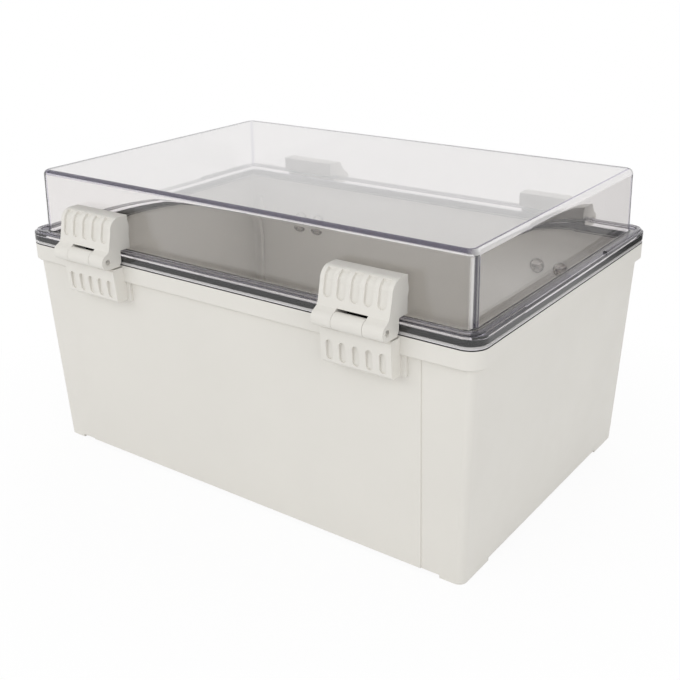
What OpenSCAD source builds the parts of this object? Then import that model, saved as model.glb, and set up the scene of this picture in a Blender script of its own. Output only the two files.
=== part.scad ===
// Hinged electrical enclosure: a drafted moulded base, a tall clear cover on two
// rear hinges and two front latches. X runs along the front, Y runs from front to
// back, Z is up and starts at the underside of the feet. The cover is shown shut.

/* [Base] */
// Outside width of the rim, left to right.
box_width = 310; // [260:1:360]
// Outside depth of the rim, front to back, latches and hinges not counted.
box_depth = 210; // [180:1:260]
// Height of the base from the table to the top face of its rim.
base_height = 131.2; // [100:0.1:180]
// Wall thickness of the base.
base_wall = 3.2; // [2:0.1:5]
// Floor thickness of the base.
floor_thickness = 3.4; // [2:0.1:6]
// How far each base wall leans in between the rim and the table.
wall_draft = 4.1; // [1:0.1:7]
// Corner radius of the base walls in plan.
wall_corner = 4.5; // [3.5:0.5:10]
// Height of the band round the top of the base.
rim_height = 10; // [7:0.1:16]
// How far the band stands out from the wall below it.
rim_step = 3.2; // [2:0.1:6]
// Slope under the band, equal in height and depth.
rim_chamfer = 0.8; // [0.5:0.1:3]
// Corner radius of the band and of the cover's flange.
rim_corner = 10; // [7:0.5:18]
// Distance from each end of the rim to the raised panel on the front and rear walls.
panel_inset = 31.5; // [20:0.5:60]
// How far that panel stands proud of the corner columns.
panel_proud = 0.6; // [0.2:0.1:1.5]
// Height of the tongue on the rim that presses into the gasket.
tongue_height = 2.3; // [1:0.1:3]
// Distance from the rim's edge to the tongue.
tongue_inset = 3.2; // [3:0.1:4]
// Thickness of the tongue.
tongue_thickness = 3.4; // [2:0.1:3.6]
// Height of the four corner feet.
foot_height = 1.8; // [1:0.1:4]
// Distance from each end of the rim to the inner edge of a foot.
foot_inset_x = 20.6; // [14:0.1:45]
// Distance from the rim's front or rear to the inner edge of a foot.
foot_inset_y = 35; // [20:1:60]

/* [Inside the base] */
// Distance from each end of the rim to a wall fixing hole.
fix_inset_x = 16.5; // [16.5:0.5:50]
// Distance from the rim's front or rear to a wall fixing hole.
fix_inset_y = 19; // [17:0.5:45]
// Radius of a wall fixing hole.
fix_hole_radius = 2.75; // [2:0.05:4]
// Radius of the ring round a wall fixing hole.
fix_ring_radius = 5.6; // [4:0.1:7]
// Height of that ring above the floor.
fix_ring_height = 1.5; // [0.5:0.1:4]
// Distance from each end of the rim to a plate post.
post_inset_x = 35; // [30:1:70]
// Distance from the rim's front or rear to a plate post.
post_inset_y = 33; // [28:1:55]
// Radius of a plate post.
post_radius = 5.5; // [4.5:0.1:8]
// Height of a plate post above the floor.
post_height = 12; // [10:0.5:30]
// Length of the web that braces a post.
post_web_length = 8; // [5:0.5:14]
// Thickness of the web that braces a post.
post_web_thickness = 1.6; // [1:0.1:3]
// Distance from a post's top down to the top of its webs.
post_web_drop = 3; // [1:0.1:6]
// Distance from each end of the rim to a guide rib on the front or rear wall.
guide_rib_inset = 16.3; // [13:0.1:30]
// Thickness of a guide rib.
guide_rib_thickness = 1.6; // [1:0.1:3]
// Depth of a guide rib where it meets the floor.
guide_rib_depth = 1.4; // [0.8:0.1:4]
// Distance from the rim's top face down to the top of a guide rib.
guide_rib_drop = 14; // [8:0.5:30]

/* [Inserts] */
// Outside radius of a brass insert.
insert_radius = 3; // [2.5:0.05:4]
// Length of a brass insert.
insert_length = 8; // [5:0.5:12]
// Radius of the thread in an insert.
insert_thread_radius = 2; // [1.5:0.05:2.2]
// Depth of the groove round an insert.
insert_groove_depth = 0.4; // [0.2:0.05:0.5]
// Width of the groove round an insert.
insert_groove_width = 1.6; // [0.8:0.1:2.5]

/* [Cover] */
// Height of the cover's top above the base rim's top face.
cover_height = 44.3; // [30:0.1:80]
// Wall thickness of the clear cover.
cover_wall = 3; // [2:0.1:4.5]
// How far the flange stands out from the cover's wall.
flange_reach = 7.3; // [6.5:0.1:12]
// Height of the flange's skirt, from its lower edge to the flange's top face.
flange_height = 6.6; // [5:0.1:12]
// Thickness of the flange plate above the gasket.
flange_plate = 1.9; // [1.2:0.1:3]
// Thickness of the skirt.
skirt_thickness = 2.3; // [1.5:0.1:3]
// How far each cover wall leans in between the flange and the top.
cover_draft = 0.8; // [0.2:0.1:2]
// Radius of the cover's upright corners.
cover_corner = 6; // [4.5:0.1:12]
// Radius of the edge round the cover's top.
cover_edge = 3; // [1.5:0.1:3.5]
// Height of the bead on top of the flange.
bead_height = 1.3; // [0.5:0.1:2]
// Width of that bead.
bead_width = 2.4; // [1.5:0.1:3.5]
// Distance from the flange's outer edge to the bead.
bead_inset = 1.6; // [1:0.1:3]
// Distance from the flange's front or rear to the plain stretch at each end of the cover.
bead_end_inset = 44; // [25:1:80]

/* [Gasket] */
// Play between the gasket and the flange above it.
gasket_top_play = 0.15; // [0.1:0.05:0.3]
// Gap between the tongue and the gasket above it.
gasket_gap = 0.3; // [0.2:0.05:0.5]
// Play between the gasket and the walls of its channel.
gasket_side_play = 0.2; // [0.1:0.05:0.5]

/* [Latches and hinges] */
// Distance from each end of the rim to the middle of a latch.
latch_inset = 62; // [45:0.5:90]
// Distance from each end of the rim to the middle of a hinge.
hinge_inset = 60.5; // [45:0.5:90]
// Width of a latch or hinge.
grip_width = 41; // [36:0.5:50]
// Distance of the pin axis outside the rim.
pin_out = 10; // [9:0.1:14]
// Height of the pin axis above the rim's top face.
pin_up = 4.4; // [4:0.1:6]
// Radius of a knuckle.
knuckle_radius = 4.4; // [3.6:0.1:5]
// Width of the middle knuckle.
mid_knuckle_width = 17.6; // [12:0.1:22]
// Height of a latch's top above the rim's top face.
latch_rise = 28.1; // [24:0.1:36]
// Height of a hinge leaf's top above the rim's top face.
hinge_rise = 17; // [14:0.1:22]
// Radius of the rounded grip edge on a latch.
grip_round = 7; // [4:0.5:8]
// Radius of the rounded outer edge on a hinge leaf.
leaf_round = 4; // [3:0.5:5]
// How far the grip face stands back from the pin axis at the rounded edge.
grip_back = 3.6; // [2:0.1:5]
// How far the grip face stands back from the pin axis at its foot.
grip_foot_back = 1.6; // [1:0.1:3]
// Height of the grip face's foot above the pin axis.
grip_foot_up = 7.6; // [6.5:0.1:8.5]
// Distance of a leg's foot outside the rim.
leg_foot_out = 2; // [1:0.1:3]
// Depth of the corner of a latch leg below the pin axis, so that it swings clear of the skirt.
leg_relief = 1.5; // [0.5:0.1:2]
// Height of the slit above the middle knuckle.
slit_height = 1.3; // [0.6:0.1:2.5]
// Number of finger recesses across a latch.
recess_count = 5; // [3:1:7]
// Spacing of the finger recesses.
recess_pitch = 7.75; // [6:0.05:9]
// Width of a finger recess.
recess_width = 5; // [3:0.1:6]
// Depth of a finger recess.
recess_depth = 1.2; // [0.6:0.1:2]
// Height of the lower end of a recess above the pin axis.
recess_foot = 9.6; // [7:0.1:14]
// Distance of the upper end of a recess inside the rounded edge.
recess_top_in = 2.4; // [0.5:0.1:6]
// Skin thickness left round the hollows inside a latch.
latch_skin = 2.4; // [1.8:0.1:3.5]
// Thickness of the webs between those hollows.
latch_web = 2; // [1.2:0.1:3]
// Thickness of the lip that holds a hinge leaf under the flange's skirt.
lip_thickness = 1.5; // [1:0.1:2.5]

/* [Brackets] */
// Height of a latch bracket, downwards from the rim's top face.
bracket_drop = 21.2; // [18:0.1:28]
// Height of a hinge's base leaf, downwards from the rim's top face.
base_leaf_drop = 33.6; // [28:0.1:40]
// How far a bracket's front stands out from the rim at its top.
bracket_out = 7.6; // [6:0.1:9]
// How much thinner a bracket is at its foot.
bracket_taper = 1.5; // [0.5:0.1:3]
// Size of the slope on a bracket's upper front edge.
bracket_top_edge = 1; // [0.5:0.1:1.5]
// Size of the slope on a bracket's lower front edge.
bracket_foot_edge = 1.5; // [0.5:0.1:2.5]
// Half width of the pad on the base wall behind a bracket.
pad_half = 23.5; // [21:0.5:28]
// How far the pad's face lies inside the rim's face.
pad_inset = 1.5; // [1:0.1:2]
// Height of the upper end of a bracket slot, downwards from the rim's top face.
slot_top_drop = 8; // [7:0.1:12]
// Height of the lower end of a bracket slot, downwards from the rim's top face.
slot_foot_drop = 18.6; // [15:0.1:20]
// Width of a bracket slot.
slot_width = 3.8; // [2.5:0.1:5]
// Depth of a bracket slot at half the bracket's height.
slot_depth = 1.5; // [0.8:0.1:2.2]

/* [Pins and screws] */
// Radius of a hinge or latch pin.
pin_radius = 1.5; // [1:0.05:2]
// Radius of the shallow well round a pin's end.
pin_well_radius = 1.9; // [1.8:0.1:3]
// Depth of that well.
pin_well_depth = 0.4; // [0.4:0.1:1.5]
// How far a pin's end stands out of the well's floor.
pin_end_proud = 0.1; // [0.05:0.05:0.3]
// Spacing of the two screws behind each latch or hinge.
screw_pitch = 15.8; // [12:0.1:24]
// Height of the latch screws, downwards from the rim's top face.
latch_screw_drop = 15; // [13:0.1:16]
// Height of the hinge screws, downwards from the rim's top face.
hinge_screw_drop = 27; // [22:0.1:29]
// Radius of a screw's thread.
screw_radius = 2; // [1.5:0.05:2.5]
// Length of a screw below its head.
screw_length = 10; // [8.5:0.1:11]
// Radius of a screw's head.
screw_head_radius = 4; // [3:0.1:4.5]
// Height of a screw's head.
screw_head_height = 2.9; // [2:0.1:3.5]
// Depth of the cross in a screw's head.
cross_depth = 1.5; // [0.8:0.1:2]
// Width of one arm of the cross.
cross_width = 0.9; // [0.6:0.1:1.4]
// Span of the cross from tip to tip.
cross_span = 4.2; // [2.5:0.1:5.5]
// Radius of a washer.
washer_radius = 4.75; // [4.2:0.05:5.5]
// Thickness of a washer.
washer_thickness = 0.8; // [0.5:0.1:1.2]
// Depth of the washer's seat in the base wall.
washer_seat_depth = 0.25; // [0.1:0.05:0.6]

/* [Clearances] */
// Gap between the cover's lower edge and the rim.
cover_gap = 0.5; // [0.2:0.05:0.7]
// Radial play of a pin in the knuckle that turns on it.
pin_play = 0.05; // [0.02:0.01:0.1]
// Radial squeeze of a pin in the knuckles that hold it.
pin_squeeze = 0.01; // [0.005:0.005:0.03]
// Side play between the middle knuckle and its neighbours.
knuckle_side_play = 0.2; // [0.1:0.05:0.4]
// Gap between a latch and the cover.
latch_gap = 0.5; // [0.3:0.05:1]
// Height of the gap between a latch's lower edge and its bracket.
bracket_gap = 1; // [0.6:0.1:2]
// Radial play of a screw in the base wall.
screw_play = 0.15; // [0.1:0.05:0.4]
// Radial bite of a screw's thread in the bracket.
screw_bite = 0.05; // [0.02:0.01:0.2]
// Radial play of a washer on its screw.
washer_play = 0.15; // [0.1:0.05:0.4]
// Radial play of a washer in its seat.
washer_seat_play = 0.6; // [0.3:0.1:1]
// Depth of a pilot hole past the end of its screw.
pilot_spare = 0.5; // [0.2:0.1:1]
// Radial squeeze of a brass insert in its post.
insert_squeeze = 0.05; // [0.02:0.01:0.1]
// Play of the lip that holds a hinge leaf to the flange.
lip_play = 0.1; // [0.05:0.05:0.2]

/* [Hidden] */

EPS = 0.01;
half_w = box_width / 2;
half_d = box_depth / 2;
rim_bottom = base_height - rim_height;
floor_top = foot_height + floor_thickness;
panel_half = half_w - panel_inset;
foot_inner_x = half_w - foot_inset_x;
foot_inner_y = half_d - foot_inset_y;
fix_half_x = half_w - fix_inset_x;
fix_half_y = half_d - fix_inset_y;
post_half_x = half_w - post_inset_x;
post_half_y = half_d - post_inset_y;
guide_rib_x = half_w - guide_rib_inset;

cover_foot = base_height + cover_gap;
flange_top = cover_foot + flange_height;
plate_under = flange_top - flange_plate;
tongue_top = base_height + tongue_height;
gasket_foot = tongue_top + gasket_gap;
cover_top = base_height + cover_height;
cover_half_w = half_w - flange_reach;
cover_half_d = half_d - flange_reach;
bead_top = flange_top + bead_height;
bead_gap_half = half_d - bead_end_inset;

latch_x = half_w - latch_inset;
hinge_x = half_w - hinge_inset;
pin_y = half_d + pin_out;
pin_z = base_height + pin_up;
grip_half = grip_width / 2;
grip_foot = pin_z + grip_foot_up;
mid_half = mid_knuckle_width / 2;
window_half = mid_half + knuckle_side_play;
latch_top = base_height + latch_rise;
hinge_top = base_height + hinge_rise;
hook_under = bead_top + latch_gap;
bracket_top = base_height - bracket_gap;
pad_face = half_d - pad_inset;
bracket_face_top = half_d + bracket_out;
bracket_face_foot = bracket_face_top - bracket_taper;

// Half size of the base wall's outer face at height z.
function wall_out_x(z) = half_w - rim_step - wall_draft * (1 - z / base_height);
function wall_out_y(z) = half_d - rim_step - wall_draft * (1 - z / base_height);
function wall_in_y(z) = wall_out_y(z) - base_wall;
// Face of the washer seat and underside of the screw head, by drop from the rim.
function seat_y(drop) = wall_in_y(base_height - drop) + washer_seat_depth;
function head_y(drop) = seat_y(drop) - washer_thickness;

// A block with round upright corners.
module round_block(hx, hy, r, z0, z1) {
  translate([-hx + r, -hy, z0]) cube([2 * (hx - r), 2 * hy, z1 - z0]);
  translate([-hx, -hy + r, z0]) cube([2 * hx, 2 * (hy - r), z1 - z0]);
  for (sx = [-1, 1], sy = [-1, 1])
    translate([sx * (hx - r), sy * (hy - r), z0]) cylinder(r = r, h = z1 - z0, $fn = 96);
}

module ring(hx, hy, r, width, z0, z1) {
  difference() {
    round_block(hx, hy, r, z0, z1);
    round_block(hx - width, hy - width, r - width, z0 - 1, z1 + 1);
  }
}

// A block with round corners whose walls lean evenly between two heights.
module leaning_block(hx0, hy0, z0, hx1, hy1, z1, r, fn = 32) {
  hull() for (sx = [-1, 1], sy = [-1, 1]) {
    translate([sx * (hx0 - r), sy * (hy0 - r), z0]) cylinder(r = r, h = EPS, $fn = fn);
    translate([sx * (hx1 - r), sy * (hy1 - r), z1 - EPS]) cylinder(r = r, h = EPS, $fn = fn);
  }
}

// A profile drawn in (y, z) and pushed out along X.
module along_x(x0, x1, points) {
  translate([x0, 0, 0]) rotate([90, 0, 90]) linear_extrude(height = x1 - x0) polygon(points);
}

module rod_x(x0, x1, y, z, r, fn = 64) {
  translate([x0, y, z]) rotate([0, 90, 0]) cylinder(r = r, h = x1 - x0, $fn = fn);
}

module rod_y(x, y0, y1, z, r, fn = 48) {
  translate([x, y0, z]) rotate([-90, 0, 0]) cylinder(r = r, h = y1 - y0, $fn = fn);
}

// Puts a piece drawn for the rear wall on the front wall.
module on_front() { mirror([0, 1, 0]) children(); }

// ---------------------------------------------------------------- base

module pad(x, drop) {
  translate([x - pad_half, 0, base_height - drop])
    cube([2 * pad_half, pad_face, drop - rim_height + rim_chamfer]);
}

module screw_seats(x, drop) {
  for (s = [-1, 1]) {
    rod_y(x + s * screw_pitch / 2, head_y(drop) - screw_head_height, pad_face + 1, base_height - drop, screw_radius + screw_play);
    rod_y(x + s * screw_pitch / 2, head_y(drop) - screw_head_height, seat_y(drop), base_height - drop, washer_radius + washer_seat_play);
  }
}

module base_outside() {
  leaning_block(wall_out_x(0), wall_out_y(0), 0,
    wall_out_x(base_height - 1), wall_out_y(base_height - 1), base_height - 1, wall_corner);
  // raised panels, front and rear
  hull() {
    translate([-panel_half, -wall_out_y(foot_height) - panel_proud, foot_height])
      cube([2 * panel_half, 2 * (wall_out_y(foot_height) + panel_proud), EPS]);
    translate([-panel_half, -wall_out_y(rim_bottom + 1) - panel_proud, rim_bottom + 1])
      cube([2 * panel_half, 2 * (wall_out_y(rim_bottom + 1) + panel_proud), EPS]);
  }
  // rim band with its sloped underside
  round_block(half_w, half_d, rim_corner, rim_bottom + rim_chamfer, base_height);
  hull() {
    for (sx = [-1, 1], sy = [-1, 1]) translate([sx * (half_w - rim_corner), sy * (half_d - rim_corner), 0]) {
      translate([0, 0, rim_bottom]) cylinder(r = rim_corner - rim_chamfer, h = EPS, $fn = 48);
      translate([0, 0, rim_bottom + rim_chamfer]) cylinder(r = rim_corner, h = EPS, $fn = 48);
    }
  }
  for (s = [-1, 1]) {
    pad(s * hinge_x, base_leaf_drop + 1);
    on_front() pad(s * latch_x, bracket_drop);
  }
}

module post(x, y) {
  translate([x, y, foot_height + 1]) cylinder(r = post_radius, h = floor_top + post_height - foot_height - 1, $fn = 64);
  for (a = [0, 90, 180, 270]) translate([x, y, foot_height + 1]) rotate([0, 0, a])
    along_x(-post_web_thickness / 2, post_web_thickness / 2, [[0, 0], [post_radius + post_web_length, 0],
      [post_radius + post_web_length, floor_thickness - 1], [post_radius, floor_thickness - 1 + post_height - post_web_drop],
      [0, floor_thickness - 1 + post_height - post_web_drop]]);
}

module base_tub() color([0.87, 0.86, 0.83]) difference() {
  union() {
    difference() {
      base_outside();
      leaning_block(wall_out_x(floor_top) - base_wall, wall_in_y(floor_top), floor_top,
        wall_out_x(base_height + 1) - base_wall, wall_in_y(base_height + 1), base_height + 1, wall_corner / 2, 24);
      // space between the feet
      translate([-foot_inner_x, -half_d, -1]) cube([2 * foot_inner_x, box_depth, foot_height + 1]);
      translate([-half_w, -foot_inner_y, -1]) cube([box_width, 2 * foot_inner_y, foot_height + 1]);
    }
    // tongue round the rim, inside the cover's skirt
    ring(half_w - tongue_inset, half_d - tongue_inset, rim_corner - tongue_inset, tongue_thickness, base_height - 1, tongue_top);
    for (sx = [-1, 1], sy = [-1, 1]) {
      post(sx * post_half_x, sy * post_half_y);
      translate([sx * fix_half_x, sy * fix_half_y, foot_height]) cylinder(r = fix_ring_radius, h = floor_thickness + fix_ring_height, $fn = 64);
      translate([sx * guide_rib_x - guide_rib_thickness / 2,
          sy > 0 ? wall_in_y(floor_top) - guide_rib_depth : -wall_in_y(floor_top) - base_wall / 2, floor_top - 1])
        cube([guide_rib_thickness, guide_rib_depth + base_wall / 2, base_height - guide_rib_drop - floor_top + 1]);
    }
  }
  for (sx = [-1, 1], sy = [-1, 1]) {
    translate([sx * post_half_x, sy * post_half_y, floor_top + post_height - insert_length])
      cylinder(r = insert_radius - insert_squeeze, h = insert_length + 1, $fn = 64);
    translate([sx * fix_half_x, sy * fix_half_y, -1]) cylinder(r = fix_hole_radius, h = floor_top + fix_ring_height + 2, $fn = 64);
  }
  for (s = [-1, 1]) {
    screw_seats(s * hinge_x, hinge_screw_drop);
    on_front() screw_seats(s * latch_x, latch_screw_drop);
  }
}

module floor_inserts() color([0.78, 0.62, 0.30]) for (sx = [-1, 1], sy = [-1, 1])
  translate([sx * post_half_x, sy * post_half_y, floor_top + post_height - insert_length]) difference() {
    cylinder(r = insert_radius, h = insert_length, $fn = 64);
    translate([0, 0, -1]) cylinder(r = insert_thread_radius, h = insert_length + 2, $fn = 64);
    translate([0, 0, (insert_length - insert_groove_width) / 2]) difference() {
      cylinder(r = insert_radius + 1, h = insert_groove_width, $fn = 64);
      translate([0, 0, -1]) cylinder(r = insert_radius - insert_groove_depth, h = insert_groove_width + 2, $fn = 64);
    }
  }

// ---------------------------------------------------------------- cover

module cover() color([0.80, 0.82, 0.86, 0.35]) difference() {
  union() {
    // walls and top with rounded edges
    hull() for (sx = [-1, 1], sy = [-1, 1]) {
      translate([sx * (cover_half_w - cover_corner), sy * (cover_half_d - cover_corner), cover_foot])
        cylinder(r = cover_corner, h = EPS, $fn = 48);
      translate([sx * (cover_half_w - cover_draft - cover_corner), sy * (cover_half_d - cover_draft - cover_corner), cover_top - cover_edge])
        rotate_extrude($fn = 48) intersection() {
          translate([cover_corner - cover_edge, 0]) circle(r = cover_edge, $fn = 40);
          square(cover_corner + cover_edge);
        }
    }
    // flange plate, skirt and bead
    difference() {
      round_block(half_w, half_d, rim_corner, cover_foot, flange_top);
      round_block(half_w - skirt_thickness, half_d - skirt_thickness, rim_corner - skirt_thickness, cover_foot - 1, plate_under);
    }
    difference() {
      ring(half_w - bead_inset, half_d - bead_inset, rim_corner - bead_inset, bead_width, flange_top - 0.5, bead_top);
      translate([-half_w - 1, -bead_gap_half, flange_top]) cube([box_width + 2, 2 * bead_gap_half, bead_height + 1]);
    }
  }
  leaning_block(cover_half_w - cover_wall, cover_half_d - cover_wall, cover_foot - 1,
    cover_half_w - cover_draft - cover_wall, cover_half_d - cover_draft - cover_wall, cover_top - cover_wall, cover_corner - cover_wall, 32);
  // notches in the skirt for the lips of the hinge leaves
  for (s = [-1, 1]) translate([s * hinge_x - grip_half - lip_play, half_d - skirt_thickness - 1, cover_foot - 1])
    cube([grip_width + 2 * lip_play, skirt_thickness + 2, 1 + lip_thickness + lip_play]);
}

module gasket() color([0.12, 0.12, 0.13]) {
  inner = flange_reach - skirt_thickness - 2 * gasket_side_play;
  ring(half_w - skirt_thickness - gasket_side_play, half_d - skirt_thickness - gasket_side_play,
    rim_corner - skirt_thickness - gasket_side_play, inner, gasket_foot, plate_under - gasket_top_play);
}

// ---------------------------------------------------------------- latches and hinges

// Outline of the moving leaf above the pin: a jaw over the flange with a rounded
// outer edge. The inset moves the outer faces in by that much.
module leaf_body(x0, x1, under, top, edge, jaw_back, inset) {
  along_x(x0, x1, [[jaw_back, under], [jaw_back, top - inset], [pin_y - grip_back - edge, top - inset],
    [pin_y - grip_back - edge, top - edge], [pin_y - grip_back - inset, top - edge],
    [pin_y - grip_foot_back - inset, grip_foot], [pin_y - grip_foot_back - inset, under]]);
  rod_x(x0, x1, pin_y - grip_back - edge, top - edge, edge - inset);
}

// The legs that run from the leaf down to the knuckles, with the outer knuckles.
module leaf_legs(inner_y, inner_z) {
  along_x(-grip_half, grip_half, [[half_d + leg_foot_out, pin_z - knuckle_radius], [inner_y, inner_z], [inner_y, grip_foot],
    [pin_y - grip_foot_back, grip_foot], [pin_y - knuckle_radius * 0.2, pin_z + knuckle_radius * 1.27],
    [pin_y + knuckle_radius * 0.12, pin_z + knuckle_radius * 1.05], [pin_y + knuckle_radius * 0.5, pin_z + knuckle_radius * 0.85],
    [pin_y, pin_z], [pin_y, pin_z - knuckle_radius]]);
  rod_x(-grip_half, grip_half, pin_y, pin_z, knuckle_radius, 96);
}

module knuckle_window() {
  translate([-window_half, half_d - 2, pin_z - knuckle_radius - 1])
    cube([2 * window_half, pin_out + knuckle_radius + 4, 2 * knuckle_radius + 1 + slit_height]);
}

module pin_holes() {
  rod_x(-grip_half - 1, grip_half + 1, pin_y, pin_z, pin_radius - pin_squeeze);
  for (s = [-1, 1]) translate([s * (grip_half - pin_well_depth / 2 + 0.5), pin_y, pin_z]) rotate([0, 90, 0])
    cylinder(r = pin_well_radius, h = pin_well_depth + 1, center = true, $fn = 64);
}

module latch_hook() {
  jaw_back = cover_half_d + latch_gap;
  difference() {
    union() {
      leaf_body(-grip_half, grip_half, hook_under, latch_top, grip_round, jaw_back, 0);
      leaf_legs(half_d + latch_gap, pin_z - leg_relief);
    }
    // finger recesses that run over the rounded edge
    difference() {
      for (i = [0 : recess_count - 1]) {
        x = (i - (recess_count - 1) / 2) * recess_pitch;
        translate([x - recess_width / 2, pin_y - grip_back - grip_round + recess_top_in, pin_z + recess_foot + recess_width / 2])
          cube([recess_width, grip_round + pin_out, latch_top - pin_z]);
        rod_y(x, pin_y - grip_back - grip_round + recess_top_in, pin_y + pin_out, pin_z + recess_foot + recess_width / 2, recess_width / 2);
      }
      leaf_body(-grip_half - 1, grip_half + 1, hook_under, latch_top, grip_round, jaw_back, recess_depth);
    }
    // hollows that open towards the cover
    for (i = [0 : 2]) {
      cell = (grip_width - 2 * latch_skin - 2 * latch_web) / 3;
      translate([-grip_half + latch_skin + i * (cell + latch_web), jaw_back - 1, hook_under + latch_skin])
        cube([cell, pin_y - grip_back - recess_depth - latch_skin - jaw_back + 1, latch_top - grip_round * 0.45 - hook_under - 2 * latch_skin]);
    }
    knuckle_window();
    pin_holes();
  }
}

module hinge_cover_leaf() {
  difference() {
    union() {
      leaf_body(-grip_half, grip_half, bead_top, hinge_top, leaf_round, cover_half_d, 0);
      leaf_legs(half_d, cover_foot);
      // lip under the flange's skirt
      translate([-grip_half, half_d - skirt_thickness + lip_play, cover_foot])
        cube([grip_width, skirt_thickness, lip_thickness]);
    }
    knuckle_window();
    pin_holes();
  }
}

module mid_knuckle() {
  along_x(-mid_half, mid_half, [[pin_y - knuckle_radius * 1.1, bracket_top - bracket_top_edge], [bracket_face_foot, bracket_top - 2 * bracket_top_edge],
    [pin_y + knuckle_radius * 0.9, pin_z - knuckle_radius * 0.44], [pin_y, pin_z], [pin_y - knuckle_radius, pin_z]]);
  rod_x(-mid_half, mid_half, pin_y, pin_z, knuckle_radius, 96);
}

// The fixed lower piece, with its middle knuckle, slots and screw holes.
module bracket(drop, slots, screw_drop) {
  difference() {
    union() {
      along_x(-grip_half, grip_half, [[pad_face, base_height - drop], [pad_face, rim_bottom + rim_chamfer - pad_inset],
        [half_d, rim_bottom + rim_chamfer], [half_d, bracket_top], [bracket_face_top - bracket_top_edge, bracket_top],
        [bracket_face_top, bracket_top - bracket_top_edge], [bracket_face_foot, base_height - drop + bracket_foot_edge],
        [bracket_face_foot - bracket_foot_edge, base_height - drop]]);
      mid_knuckle();
    }
    if (slots) for (i = [0 : recess_count - 1]) {
      x = (i - (recess_count - 1) / 2) * recess_pitch;
      slot_floor = bracket_face_top - bracket_taper / 2 - slot_depth;
      for (z = [base_height - slot_top_drop - slot_width / 2, base_height - slot_foot_drop + slot_width / 2])
        rod_y(x, slot_floor, bracket_face_top + 1, z, slot_width / 2);
      translate([x - slot_width / 2, slot_floor, base_height - slot_foot_drop + slot_width / 2])
        cube([slot_width, bracket_face_top + 1 - slot_floor, slot_foot_drop - slot_top_drop - slot_width]);
    }
    rod_x(-grip_half, grip_half, pin_y, pin_z, pin_radius + pin_play);
    for (s = [-1, 1]) rod_y(s * screw_pitch / 2, pad_face - 1, head_y(screw_drop) + screw_length + pilot_spare,
      base_height - screw_drop, screw_radius - screw_bite);
  }
}

module pin() {
  half = grip_half - pin_well_depth + pin_end_proud;
  rod_x(-half, half, pin_y, pin_z, pin_radius);
}

module screws(drop) {
  head = head_y(drop);
  dome = 1.4 * screw_head_radius;
  for (s = [-1, 1]) translate([s * screw_pitch / 2, 0, base_height - drop]) difference() {
    union() {
      rod_y(0, head - screw_head_height / 2, head + screw_length, 0, screw_radius);
      intersection() {
        rod_y(0, head - screw_head_height, head, 0, screw_head_radius, 64);
        translate([0, head - screw_head_height + dome, 0]) sphere(r = dome, $fn = 64);
      }
    }
    for (a = [0, 90]) rotate([0, a + 20, 0])
      translate([-cross_width / 2, head - screw_head_height - 1, -cross_span / 2]) cube([cross_width, cross_depth + 1, cross_span]);
  }
}

module washers(drop) {
  for (s = [-1, 1]) difference() {
    rod_y(s * screw_pitch / 2, head_y(drop), seat_y(drop), base_height - drop, washer_radius, 64);
    rod_y(s * screw_pitch / 2, head_y(drop) - 1, seat_y(drop) + 1, base_height - drop, screw_radius + washer_play, 64);
  }
}

module latch_bracket_left() color([0.87, 0.86, 0.83]) translate([-latch_x, 0, 0]) on_front() bracket(bracket_drop, true, latch_screw_drop);
module latch_bracket_right() color([0.87, 0.86, 0.83]) translate([latch_x, 0, 0]) on_front() bracket(bracket_drop, true, latch_screw_drop);
module latch_hook_left() color([0.88, 0.87, 0.84]) translate([-latch_x, 0, 0]) on_front() latch_hook();
module latch_hook_right() color([0.88, 0.87, 0.84]) translate([latch_x, 0, 0]) on_front() latch_hook();
module latch_pin_left() color([0.75, 0.75, 0.76]) translate([-latch_x, 0, 0]) on_front() pin();
module latch_pin_right() color([0.75, 0.75, 0.76]) translate([latch_x, 0, 0]) on_front() pin();
module latch_screws_left() color([0.75, 0.75, 0.76]) translate([-latch_x, 0, 0]) on_front() screws(latch_screw_drop);
module latch_screws_right() color([0.75, 0.75, 0.76]) translate([latch_x, 0, 0]) on_front() screws(latch_screw_drop);
module latch_washers_left() color([0.70, 0.70, 0.72]) translate([-latch_x, 0, 0]) on_front() washers(latch_screw_drop);
module latch_washers_right() color([0.70, 0.70, 0.72]) translate([latch_x, 0, 0]) on_front() washers(latch_screw_drop);
module hinge_base_leaf_left() color([0.87, 0.86, 0.83]) translate([-hinge_x, 0, 0]) bracket(base_leaf_drop, false, hinge_screw_drop);
module hinge_base_leaf_right() color([0.87, 0.86, 0.83]) translate([hinge_x, 0, 0]) bracket(base_leaf_drop, false, hinge_screw_drop);
module hinge_cover_leaf_left() color([0.88, 0.87, 0.84]) translate([-hinge_x, 0, 0]) hinge_cover_leaf();
module hinge_cover_leaf_right() color([0.88, 0.87, 0.84]) translate([hinge_x, 0, 0]) hinge_cover_leaf();
module hinge_pin_left() color([0.75, 0.75, 0.76]) translate([-hinge_x, 0, 0]) pin();
module hinge_pin_right() color([0.75, 0.75, 0.76]) translate([hinge_x, 0, 0]) pin();
module hinge_screws_left() color([0.75, 0.75, 0.76]) translate([-hinge_x, 0, 0]) screws(hinge_screw_drop);
module hinge_screws_right() color([0.75, 0.75, 0.76]) translate([hinge_x, 0, 0]) screws(hinge_screw_drop);
module hinge_washers_left() color([0.70, 0.70, 0.72]) translate([-hinge_x, 0, 0]) washers(hinge_screw_drop);
module hinge_washers_right() color([0.70, 0.70, 0.72]) translate([hinge_x, 0, 0]) washers(hinge_screw_drop);

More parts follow.
